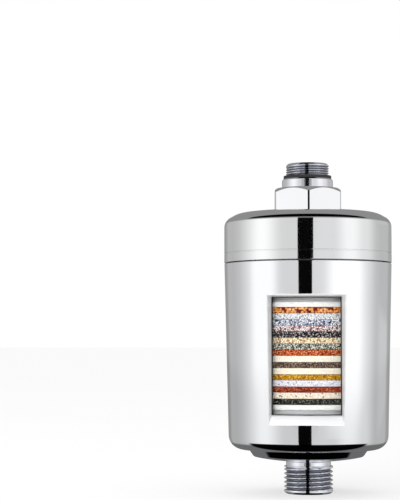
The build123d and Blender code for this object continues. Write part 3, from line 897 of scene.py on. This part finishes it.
def adapter():
    """Spout adapter: pipe thread below the collar, spout thread above it."""
    bore_r, relief_r, relief_top = 5.5, 8.5, COLLAR_TOP + 1.3
    chamfer, collar_chamfer = 0.8, 0.7
    collar_low = NUT_HIGH + SEAT_GAP
    thread_low, thread_top = ADAPTER_LOW + chamfer, ADAPTER_TOP - chamfer
    outline = rounded([
        (bore_r, ADAPTER_LOW, 0.2), (PIPE_R - chamfer, ADAPTER_LOW, 0.2), (PIPE_R, thread_low)])
    outline += stepped(PIPE_R, thread_low, collar_low, 0.13)[1:]
    outline += rounded([
        (PIPE_R, collar_low), (COLLAR_R, collar_low, 0.25), (COLLAR_R, COLLAR_TOP - collar_chamfer, 0.25),
        (COLLAR_R - collar_chamfer, COLLAR_TOP, 0.25), (relief_r, COLLAR_TOP), (relief_r, relief_top),
        (SPOUT_R, relief_top)], beside=0.05)[1:]
    outline += stepped(SPOUT_R, relief_top, thread_top, 0.08)[1:]
    outline += rounded([
        (SPOUT_R, thread_top), (SPOUT_R - chamfer, ADAPTER_TOP, 0.15), (bore_r, ADAPTER_TOP, 0.2)])[1:]
    piece = turned("collar_with_threads", outline, [CHROME_FITTINGS], SMALL_RING_COLUMNS)
    cut_thread(piece, PIPE_R, PIPE_DEPTH, PIPE_PITCH, thread_low, collar_low - 0.02, PIPE_THREAD)
    cut_thread(piece, SPOUT_R, SPOUT_DEPTH, SPOUT_PITCH, relief_top, thread_top, SPOUT_THREAD)
    return piece


# Union nut: hexagon whose corners are cut flat, chamfered above and below

NUT_FLATS, NUT_CORNER_CUT, NUT_TURN = 28.2, 0.5, 3.0
NUT_STEPS, NUT_EDGE_BREAK = 12, 0.12
NUT_SMOOTH_LIMIT = math.radians(12)


def nut():
    """Rows of a hexagon from the bore over both chamfers and back."""
    apothem, half_side = NUT_FLATS / 2, math.radians(30)
    sharp_r = apothem / math.cos(half_side)
    cut_distance = sharp_r - NUT_CORNER_CUT * math.sin(half_side)
    cut_half = math.degrees(math.atan2(NUT_CORNER_CUT * math.cos(half_side), cut_distance))
    top_land_r, low_land_r, top_drop, low_drop = 13.4, 14.4, 2.2, 0.3
    bore_r, bore_chamfer, lip_top, edge = PIPE_R + SEAT_GAP, 0.6, NUT_LOW + 2.1, 0.3
    angles = []
    for corner in range(6):
        middle = 60 * corner + NUT_TURN
        first, last = middle + cut_half, middle + 60 - cut_half
        angles += [middle - cut_half, middle]
        angles += [first + (last - first) * i / NUT_STEPS for i in range(NUT_STEPS)]

    def outer_r(angle):
        from_corner = (angle - NUT_TURN + 30) % 60 - 30
        if abs(from_corner) <= cut_half + 0.001:
            return cut_distance / math.cos(math.radians(from_corner))
        return apothem / math.cos(math.radians(30 - abs(from_corner)))

    points, faces = [], []
    for angle in angles:
        radius = outer_r(angle)
        low = NUT_LOW + low_drop * max(0, radius - low_land_r) / (sharp_r - low_land_r)
        high = NUT_HIGH - top_drop * (radius - top_land_r) / (sharp_r - top_land_r)
        section = [
            (TAIL_HOLE_R, NUT_LOW), (min(low_land_r, radius - 0.06), NUT_LOW), (radius, low),
            (radius, low + edge), (radius, high - edge), (radius, high), (top_land_r, NUT_HIGH),
            (bore_r + bore_chamfer, NUT_HIGH), (bore_r, NUT_HIGH - bore_chamfer),
            (bore_r, lip_top), (TAIL_HOLE_R, lip_top)]
        points += [place(*corner, angle) for corner in section]
    levels, count = len(section), len(angles)
    for column in range(count):
        beside = (column + 1) % count
        for level in range(levels):
            above = (level + 1) % levels
            faces.append((column * levels + level, beside * levels + level,
                          beside * levels + above, column * levels + above))
    piece = finish_mesh("hexagon_nut", points, faces, [CHROME_NUT], limit=NUT_SMOOTH_LIMIT)
    broken = piece.modifiers.new("edge_break", "BEVEL")
    broken.width = NUT_EDGE_BREAK * MM
    broken.segments = 2
    broken.limit_method = "ANGLE"
    broken.angle_limit = NUT_SMOOTH_LIMIT
    broken.harden_normals = True
    return piece


# Filter media: grains packed against the clear tube, made by one tree of Geometry Nodes

CORE_COLUMNS = 128
GRAIN_SPACING = 0.68
MOST_GRAINS = 4.0e7
FIRST_SEED = 40


def layer_cylinder(tree, ends, radius, height, middle):
    """Cylinder round the axis with its middle at a given place."""
    node = add_node(tree, "GeometryNodeMeshCylinder", Vertices=CORE_COLUMNS, Radius=radius, Depth=height)
    node.fill_type = ends
    moved = add_node(tree, "GeometryNodeTransform", Geometry=node.outputs["Mesh"], Translation=middle)
    return moved.outputs[0]


def random_value(tree, kind, low, high, seed):
    """Random number or vector for each point, between two ends."""
    node = tree.nodes.new("FunctionNodeRandomValue")
    node.data_type = kind
    return fed(tree, node, Min=low, Max=high, Seed=seed).outputs["Value"]


def make_packed_grains():
    """Core of one layer with grains set all round its side, each with its own tone."""
    tree, start, end = new_tree("packed_grains", [
        ("Radius", "Float", 0.028), ("Low", "Float", 0.0), ("Height", "Float", 0.0025),
        ("Grain", "Float", 0.0006), ("Packing", "Float", 0.8), ("Facets", "Int", 1),
        ("Smooth", "Bool", False), ("Flatten", "Float", 0.7), ("Seed", "Int", 1),
        ("Finish", "Material", None)])
    given = start.outputs

    # The grains' middles lie on a wall under the tube, clear of the layers above and below
    half_grain = times(tree, given["Grain"], 0.5)
    seat_r = minus(tree, given["Radius"], half_grain)
    core_r = minus(tree, seat_r, times(tree, half_grain, 0.7))
    band = minus(tree, given["Height"], times(tree, half_grain, 1.3))
    half_up = math_node(tree, "MULTIPLY_ADD", given["Height"], 0.5, given["Low"])
    middle = joined(tree, 0.0, 0.0, half_up)
    wall = layer_cylinder(tree, "NONE", seat_r, band, middle)
    core = layer_cylinder(tree, "NGON", core_r, given["Height"], middle)

    scatter = tree.nodes.new("GeometryNodeDistributePointsOnFaces")
    scatter.distribute_method = "POISSON"
    spacing = times(tree, given["Grain"], given["Packing"])
    fed(tree, scatter, Mesh=wall, Distance_Min=spacing, Density_Max=MOST_GRAINS, Seed=given["Seed"])
    tone = random_value(tree, "FLOAT", LEAST_GRAIN_TONE, 1.0, given["Seed"])
    toned = add_node(
        tree, "GeometryNodeStoreNamedAttribute", Geometry=scatter.outputs["Points"],
        Name="grain_tone", Value=tone)

    # Each grain is turned any way and drawn in along its own axes
    grain = add_node(tree, "GeometryNodeMeshIcoSphere", Radius=half_grain, Subdivisions=given["Facets"])
    turns = random_value(
        tree, "FLOAT_VECTOR", (0.0, 0.0, 0.0), (math.tau, math.tau, math.tau), plus(tree, given["Seed"], 7))
    flattest = joined(tree, *[given["Flatten"]] * 3)
    sizes = random_value(tree, "FLOAT_VECTOR", flattest, (1.0, 1.0, 1.0), plus(tree, given["Seed"], 13))
    heap = add_node(
        tree, "GeometryNodeInstanceOnPoints", Points=toned.outputs[0], Instance=grain.outputs["Mesh"],
        Rotation=turns, Scale=sizes)
    real = add_node(tree, "GeometryNodeRealizeInstances", Geometry=heap.outputs[0])
    shaded = add_node(
        tree, "GeometryNodeSetShadeSmooth", Geometry=real.outputs[0], Shade_Smooth=given["Smooth"])

    whole = tree.nodes.new("GeometryNodeJoinGeometry")
    for part in (core, shaded.outputs[0]):
        tree.links.new(part, whole.inputs[0])
    real = add_node(tree, "GeometryNodeRealizeInstances", Geometry=whole.outputs[0])
    dressed = add_node(
        tree, "GeometryNodeSetMaterial", Geometry=real.outputs[0], Material=given["Finish"])
    tree.links.new(dressed.outputs[0], end.inputs[0])
    return tree


PACKED_GRAINS = make_packed_grains()

# Forms of grain: how finely it is faceted, whether it is shaded smooth, least share of its full width
CRYSTAL, BEAD, BALL = (1, False, 0.62), (1, True, 0.85), (2, True, 0.9)
# Each layer from the top: name, grain in millimetres, its form, the painted shade of the gaps between
# grains, then each shade of grain as its share and its red, green and blue on a screen
LAYERS = [
    ("ceramic balls", 1.3, BALL, (120, 62, 34), [
        (0.40, 236, 160, 92), (0.26, 210, 130, 66), (0.20, 248, 196, 142), (0.14, 112, 34, 22)]),
    ("white sand", 0.7, CRYSTAL, (190, 192, 198), [
        (0.58, 255, 255, 255), (0.26, 234, 235, 238), (0.16, 150, 156, 166)]),
    ("blue flecked sand", 0.8, CRYSTAL, (130, 134, 152), [
        (0.48, 255, 255, 255), (0.26, 212, 216, 232), (0.14, 130, 138, 168), (0.12, 26, 30, 50)]),
    ("pink flecked sand", 0.8, CRYSTAL, (156, 126, 126), [
        (0.52, 255, 250, 250), (0.24, 236, 214, 212), (0.12, 158, 118, 120), (0.12, 70, 40, 46)]),
    ("coal", 0.7, CRYSTAL, (26, 24, 30), [
        (0.36, 66, 63, 68), (0.26, 112, 106, 104), (0.28, 198, 190, 186), (0.10, 30, 26, 32)]),
    ("maize stone", 0.8, BEAD, (190, 164, 128), [
        (0.44, 255, 250, 226), (0.28, 252, 228, 186), (0.16, 226, 190, 146), (0.12, 150, 124, 100)]),
    ("green grey grit", 0.75, CRYSTAL, (76, 82, 78), [
        (0.36, 208, 208, 194), (0.22, 154, 160, 150), (0.28, 246, 240, 228), (0.14, 54, 62, 60)]),
    ("orange clay", 0.7, CRYSTAL, (132, 52, 24), [
        (0.40, 234, 122, 70), (0.26, 196, 84, 42), (0.22, 250, 176, 130), (0.12, 104, 36, 18)]),
    ("ivory sand", 0.5, BEAD, (240, 234, 214), [
        (0.6, 255, 253, 244), (0.4, 252, 247, 232)]),
    ("brown grit", 0.6, CRYSTAL, (60, 42, 34), [
        (0.42, 120, 98, 84), (0.26, 84, 64, 56), (0.32, 172, 148, 132)]),
    ("ivory sand again", 0.5, BEAD, (240, 232, 212), [
        (0.6, 255, 252, 244), (0.4, 251, 246, 230)]),
    ("ochre grit", 0.65, CRYSTAL, (140, 94, 8), [
        (0.46, 234, 180, 38), (0.30, 206, 148, 18), (0.16, 252, 218, 108), (0.08, 126, 86, 12)]),
    ("lilac white sand", 0.6, CRYSTAL, (208, 208, 220), [
        (0.60, 255, 255, 255), (0.30, 242, 243, 250), (0.10, 150, 152, 164)]),
    ("brick red clay", 0.65, CRYSTAL, (112, 38, 24), [
        (0.42, 192, 82, 48), (0.30, 158, 56, 32), (0.20, 220, 132, 92), (0.08, 92, 32, 20)]),
    ("speckled cream sand", 0.75, CRYSTAL, (230, 214, 192), [
        (0.62, 255, 252, 244), (0.24, 254, 244, 224), (0.07, 222, 196, 166), (0.07, 88, 72, 58)]),
    ("black carbon", 0.7, CRYSTAL, (18, 18, 16), [
        (0.50, 46, 46, 42), (0.28, 74, 74, 66), (0.22, 134, 134, 122)]),
]


def media_layers():
    """One piece for each layer of media."""
    for number, (label, grain, form, gap_shade, shades) in enumerate(LAYERS, 1):
        node, slot = f"media_layer_{number:02d}", f"media_{number:02d}"
        low, high = lower(node).z, upper(node).z
        facets, smooth, flatten = form
        piece = add_object(label.replace(" ", "_"), bpy.data.meshes.new(node))
        apply_tree(piece, PACKED_GRAINS, {
            "Radius": STACK_R * MM, "Low": low * MM, "Height": (high - low) * MM,
            "Grain": grain * MM, "Packing": GRAIN_SPACING, "Facets": facets, "Smooth": smooth,
            "Flatten": flatten, "Seed": FIRST_SEED + number, "Finish": media(slot, gap_shade, shades, grain)})
        stand_in(piece, node, "body")


# Pads and screens

PINHOLE_R = 0.05


def pad(name, node):
    """Disc of wadding with soft edges that sags a little between its neighbours."""
    low, high = lower(node).z, upper(node).z
    edge_r, flat_r, sag = STACK_R - 0.1, STACK_R - 8, 0.05
    outline = rounded([
        (PINHOLE_R, low + sag), (flat_r, low), (edge_r, low, 0.6), (edge_r, high, 0.6),
        (flat_r, high), (PINHOLE_R, high - sag)], beside=0.3)
    piece = turned(name, outline, [WHITE_WADDING], PAD_COLUMNS)
    return piece


def screen(name, node, cloth_low):
    """Shallow cup: brushed ring round a disc of wire cloth."""
    low, high = lower(node).z, upper(node).z
    sheet = 0.6
    inner_r = STACK_R - sheet
    cloth_face, cloth_back = (low, low + sheet) if cloth_low else (high, high - sheet)
    open_edge = high if cloth_low else low
    outline = rounded([
        (PINHOLE_R, cloth_face), (STACK_R, cloth_face, 0.25), (STACK_R, open_edge, 0.12),
        (inner_r, open_edge, 0.12), (inner_r, cloth_back), (PINHOLE_R, cloth_back)], beside=0.08)

    def zone_of(first, second):
        return int(max(first[0], second[0]) <= inner_r + 0.01 and first[1] == second[1])
    return turned(name, outline, [BRUSHED_RING, STEEL_MESH], SMALL_RING_COLUMNS, zone_of)


# Pieces in their places

def stand_in(piece, node, body):
    """Hides the node that a piece stands for and hangs the piece on the body it rides on."""
    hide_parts(node)
    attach(piece, body)


stand_in(housing(), "housing", "body")
stand_in(cap(), "top_cap", "cap")
stand_in(outlet(), "outlet_fitting", "body")
stand_in(adapter(), "spout_adapter", "adapter")
stand_in(nut(), "union_nut", "union")
stand_in(pad("lower_wadding", "bottom_pad"), "bottom_pad", "body")
stand_in(pad("upper_wadding", "top_pad"), "top_pad", "body")
stand_in(screen("lower_screen", "bottom_screen", False), "bottom_screen", "body")
stand_in(screen("upper_screen", "top_screen", True), "top_screen", "body")
media_layers()

# Finishes of the nodes that keep their own shape
NODE_FINISHES = {
    "sight_sleeve": CLEAR_SLEEVE,
    "cartridge_tube": CLEAR_TUBE,
    "inlet_tail": PLAIN_BRASS,
    "inlet_screen": STEEL_MESH,
    "window_gasket": BLACK_RUBBER,
    "outlet_seal": BLACK_RUBBER,
    "sleeve_seal": BLACK_RUBBER,
    "cap_seal": BLACK_RUBBER,
    "tail_seal": BLACK_RUBBER,
    "inlet_washer": BLACK_RUBBER,
    "adapter_washer": BLACK_RUBBER,
    "cartridge_top_seal": WHITE_RUBBER,
    "cartridge_bottom_seal": WHITE_RUBBER,
    "cartridge_top_lid": WHITE_PLASTIC,
    "cartridge_bottom_lid": WHITE_PLASTIC,
}
for node, finish in NODE_FINISHES.items():
    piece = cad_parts[node]
    piece.data.materials.clear()
    piece.data.materials.append(finish)


# Camera at the photograph's angle

EYE_DISTANCE, EYE_HEIGHT, EYE_AZIMUTH = 0.72, 0.063, 1.15
LENS = 120.0
LOOK_YAW, LOOK_PITCH = 3.703, 3.291


def camera():
    """Eye low in front of the filter, with the filter right of the middle of the frame."""
    data = bpy.data.cameras.new("camera")
    data.lens = LENS
    data.sensor_width = 36.0
    eye = add_object("camera", data)
    turn = math.radians(EYE_AZIMUTH)
    eye.location = (EYE_DISTANCE * math.sin(turn), -EYE_DISTANCE * math.cos(turn), EYE_HEIGHT)
    eye.rotation_euler = (math.radians(90 + LOOK_PITCH), 0, math.radians(EYE_AZIMUTH + LOOK_YAW))
    bpy.context.scene.camera = eye


# Floor and studio light

def floor():
    """Pale floor that keeps the soft shadow of the filter."""
    size = 60.0
    corners = [(-size, -size, 0), (size, -size, 0), (size, size, 0), (-size, size, 0)]
    mesh = bpy.data.meshes.new("floor")
    mesh.from_pydata(corners, [], [(0, 1, 2, 3)])
    plane = add_object("floor", mesh)
    material, tree, shader, where = start_material("pale_floor")
    colour = mixed_colour(tree, noise_node(tree, where, 6.0), srgb(190, 190, 190), srgb(192, 192, 192))
    fed(tree, shader, Base_Color=colour, Roughness=0.9, Specular_IOR_Level=0.0,
        Emission_Color=(1, 1, 1, 1), Emission_Strength=0.53)
    mesh.materials.append(material)
    plane.visible_glossy = False


# What the chrome mirrors. A direction is counted by the turn and the tilt that show it in a mirror
# held up to the camera, both doubled. Levels are brightness, from black to white.
STUDIO_BASE, EVEN_LIGHT, BLACK = 0.54, 0.82, 0.002
ALL_THE_WAY = (0.0, 400.0, 1.0)
# Panels: middle azimuth, half width, soft edge, middle elevation, half height, soft edge, level
STUDIO = [
    (-142.0, 18.0, 16.0, *ALL_THE_WAY, 0.485),           # wall behind on the left
    (140.0, 16.0, 16.0, 6.0, 5.0, 3.0, 0.5),             # wall behind on the right, upper part
    (134.0, 10.0, 14.0, -4.5, 3.2, 2.0, 0.6),            # the same, lower part
    (-60.0, 28.0, 24.0, *ALL_THE_WAY, 0.72),             # wide box on the left
    (65.0, 22.0, 26.0, *ALL_THE_WAY, 0.79),              # wide box on the right
    (-6.0, 16.0, 26.0, *ALL_THE_WAY, 0.695),             # wall round the camera
    (33.0, 14.0, 18.0, *ALL_THE_WAY, 0.75),              # wall right of the camera
    (-64.0, 1.5, 31.0, *ALL_THE_WAY, 1.04),              # bright line in the left box
    (61.0, 2.0, 24.0, *ALL_THE_WAY, 0.98),               # bright line in the right box
    (56.0, 14.0, 24.0, -1.9, 2.5, 2.4, 1.1),             # bright middle of the right box
    (-63.0, 8.0, 18.0, -1.2, 1.8, 2.4, 1.04),            # bright middle of the left box
    (180.0, 27.0, 14.0, *ALL_THE_WAY, 0.38),             # dim wall straight behind, from the right
    (-180.0, 27.0, 14.0, *ALL_THE_WAY, 0.34),            # the same, from the left
    (-1.9, 10.3, 0.5, 103.0, 100.0, 0.5, BLACK),         # black flag over the camera
    (-12.0, 11.0, 5.0, 5.75, 0.3, 0.15, 0.24),           # grey strip across its left, for the nut
    (6.0, 12.5, 2.0, 5.75, 0.3, 0.15, BLACK),            # black strip across its right, for the same
    (-2.3, 9.0, 0.5, -0.6, 3.6, 0.5, BLACK),             # black flag round the camera
    (-3.7, 9.1, 0.5, -104.0, 100.0, 0.5, BLACK),         # black flag under the camera
    (-3.7, 18.0, 0.5, -4.55, 0.5, 0.15, BLACK),          # its wider upper edge
    (*ALL_THE_WAY, 150.0, 92.0, 16.0, 0.27),             # dim ceiling
    (*ALL_THE_WAY, -150.0, 76.0, 18.0, 0.17),            # dark floor
]
PANEL_INPUTS = (
    "Middle_Azimuth", "Half_Width", "Side_Edge", "Middle_Elevation", "Half_Height", "End_Edge", "Level")
# Low part of every wall: elevations between which it begins, and the share of light it keeps
LOW_WALL = (-6.0, -3.0, 0.88)
# Black cloths overhead and on the floor, each with one straight edge: half width, straight edge, depth
OVERHEAD_CLOTH = (92.0, 60.0, 42.0)
FLOOR_CLOTH = (97.0, 50.0, 80.0)
CLOTH_BLACKNESS = 0.996


def make_black_cloth():
    """Blends a dark half oval over what is behind it; its straight edge lies at a given elevation."""
    group, start, end = new_group(
        "black_cloth",
        [("Behind", "Float", 0.5), ("Azimuth", "Float", 0.0), ("Elevation", "Float", 0.0),
         ("Half Width", "Float", 90.0), ("Straight Edge", "Float", 45.0), ("Depth", "Float", 40.0)],
        [("Level", "Float")])
    given = start.outputs
    across = per(group, given["Azimuth"], given["Half Width"])
    up = per(group, minus(group, given["Elevation"], given["Straight Edge"]), given["Depth"])
    within = ranged(group, hypotenuse(group, across, up), 0.93, 1.03, 1.0, 0.0, smooth=True)
    over = ranged(group, up, -0.03, 0.03, 0.0, 1.0, smooth=True)
    left = minus(group, 1.0, times(group, times(group, within, over), CLOTH_BLACKNESS))
    group.links.new(times(group, given["Behind"], left), end.inputs[0])
    return group


def make_studio_panel():
    """Blends one soft edged panel of the studio over what is behind it."""
    group, start, end = new_group(
        "studio_panel",
        [("Behind", "Float", 0.5), ("Azimuth", "Float", 0.0), ("Elevation", "Float", 0.0),
         ("Middle Azimuth", "Float", 0.0), ("Half Width", "Float", 10.0), ("Side Edge", "Float", 1.0),
         ("Middle Elevation", "Float", 0.0), ("Half Height", "Float", 10.0), ("End Edge", "Float", 1.0),
         ("Level", "Float", 1.0)],
        [("Level", "Float")])
    given = start.outputs

    def within(value, middle, half, edge):
        away = size_of(group, minus(group, given[value], given[middle]))
        reach = plus(group, given[half], given[edge])
        return ranged(group, away, given[half], reach, 1.0, 0.0, smooth=True)
    mask = times(
        group, within("Azimuth", "Middle Azimuth", "Half Width", "Side Edge"),
        within("Elevation", "Middle Elevation", "Half Height", "End Edge"))
    more = minus(group, given["Level"], given["Behind"])
    group.links.new(math_node(group, "MULTIPLY_ADD", more, mask, given["Behind"]), end.inputs[0])
    return group


def studio():
    """White for the eye, an even light for matt surfaces, and the studio's panels for what shines."""
    world = bpy.data.worlds.new("studio")
    bpy.context.scene.world = world
    world.use_nodes = True
    tree = world.node_tree
    x, y, z = parts_of(tree, tree.nodes.new("ShaderNodeTexCoord").outputs["Generated"])
    towards = minus(tree, 1.0, y)
    doubled = 360 / math.pi
    azimuth = times(tree, math_node(tree, "ARCTAN2", x, towards), doubled)
    elevation = times(tree, math_node(tree, "ARCTAN2", z, hypotenuse(tree, x, towards)), doubled)

    level, panel, cloth = STUDIO_BASE, make_studio_panel(), make_black_cloth()
    for values in STUDIO:
        level = put(
            tree, panel, Behind=level, Azimuth=azimuth, Elevation=elevation,
            **dict(zip(PANEL_INPUTS, values))).outputs[0]
    level = times(tree, level, ranged(tree, elevation, *LOW_WALL, 1.0, smooth=True))
    for tilt, (half_width, edge, depth) in (
            (elevation, OVERHEAD_CLOTH), (times(tree, elevation, -1.0), FLOOR_CLOTH)):
        level = put(
            tree, cloth, Behind=level, Azimuth=azimuth, Elevation=tilt, Half_Width=half_width,
            Straight_Edge=edge, Depth=depth).outputs[0]

    rays = tree.nodes.new("ShaderNodeLightPath").outputs
    mirrored = times(tree, rays["Is Glossy Ray"], minus(tree, level, EVEN_LIGHT))
    strength = plus(tree, EVEN_LIGHT, mirrored)
    seen = math_node(tree, "MAXIMUM", rays["Is Camera Ray"], rays["Is Transmission Ray"])
    white = times(tree, seen, minus(tree, 1.0, strength))
    fed(tree, tree.nodes["Background"], Strength=plus(tree, strength, white), Color=(1, 1, 1, 1))


def lamp(name, place_at, size, watts):
    """Square soft lamp that looks at the middle of the filter."""
    data = bpy.data.lights.new(name, "AREA")
    data.size = size
    data.energy = watts
    light = add_object(name, data)
    light.location = place_at
    middle = Vector((0, 0, 0.07))
    light.rotation_euler = (middle - Vector(place_at)).to_track_quat("-Z", "Y").to_euler()
    light.visible_glossy = False
    light.visible_transmission = False


camera()
floor()
studio()
lamp("front_left_lamp", (-0.7, -1.2, 0.7), 0.9, 3.5)
lamp("front_lamp", (-0.25, -1.3, 0.12), 0.5, 11.0)
bpy.context.scene.view_settings.view_transform = "Standard"
